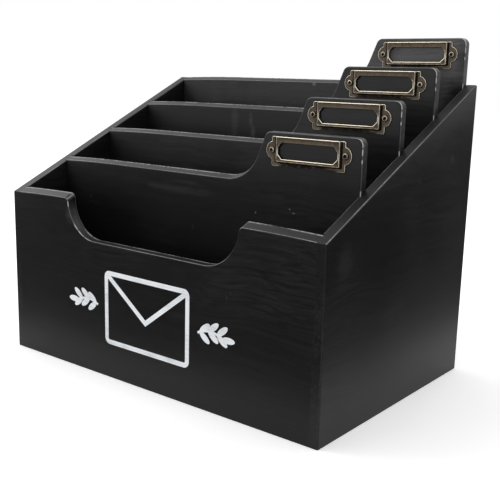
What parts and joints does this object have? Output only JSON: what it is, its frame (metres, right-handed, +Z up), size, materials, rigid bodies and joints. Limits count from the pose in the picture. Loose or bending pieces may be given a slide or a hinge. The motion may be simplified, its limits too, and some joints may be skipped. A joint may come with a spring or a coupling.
{
  "type": "mail organizer",
  "caption": "Slant-topped painted wood mail organizer with stepped pockets, a scooped front and lift-out dividers whose tabs carry brass label holders.",
  "frame": {"origin": "middle of the footprint, on the surface that the organizer stands on", "axes": "+X across to the side of the tabs, +Y from the scooped front to the back, +Z up"},
  "size_m": [0.305, 0.2001, 0.2598],
  "materials": {
    "black_paint": "satin black paint over wood, worn at the edges",
    "antique_brass": "antiqued brass, bright on the raised edges",
    "screw_brass": "antiqued brass",
    "brad_steel": "bright drawn wire",
    "white_print": "matt white print"
  },
  "bodies": {
    "carcass": {"left_side_panel": "black_paint", "right_side_panel": "black_paint", "front_panel": "black_paint", "back_panel": "black_paint", "bottom_panel": "black_paint", "left_front_brads": "brad_steel", "right_front_brads": "brad_steel", "left_back_brads": "brad_steel", "right_back_brads": "brad_steel", "left_bottom_brads": "brad_steel", "right_bottom_brads": "brad_steel", "front_bottom_brads": "brad_steel", "back_bottom_brads": "brad_steel", "back_label_holder": "antique_brass", "back_label_screws": "screw_brass", "front_print": "white_print"},
    "front_divider_unit": {"front_divider": "black_paint", "front_label_holder": "antique_brass", "front_label_screws": "screw_brass"},
    "middle_divider_unit": {"middle_divider": "black_paint", "middle_label_holder": "antique_brass", "middle_label_screws": "screw_brass"},
    "rear_divider_unit": {"rear_divider": "black_paint", "rear_label_holder": "antique_brass", "rear_label_screws": "screw_brass"}
  },
  "joints": [
    {"name": "front_divider_lift", "type": "slide", "parent": "carcass", "child": "front_divider_unit", "axis": [0, 0, 1], "range_m": [0, 0.1484]},
    {"name": "middle_divider_lift", "type": "slide", "parent": "carcass", "child": "middle_divider_unit", "axis": [0, 0, 1], "range_m": [0, 0.1712]},
    {"name": "rear_divider_lift", "type": "slide", "parent": "carcass", "child": "rear_divider_unit", "axis": [0, 0, 1], "range_m": [0, 0.194]}
  ]
}
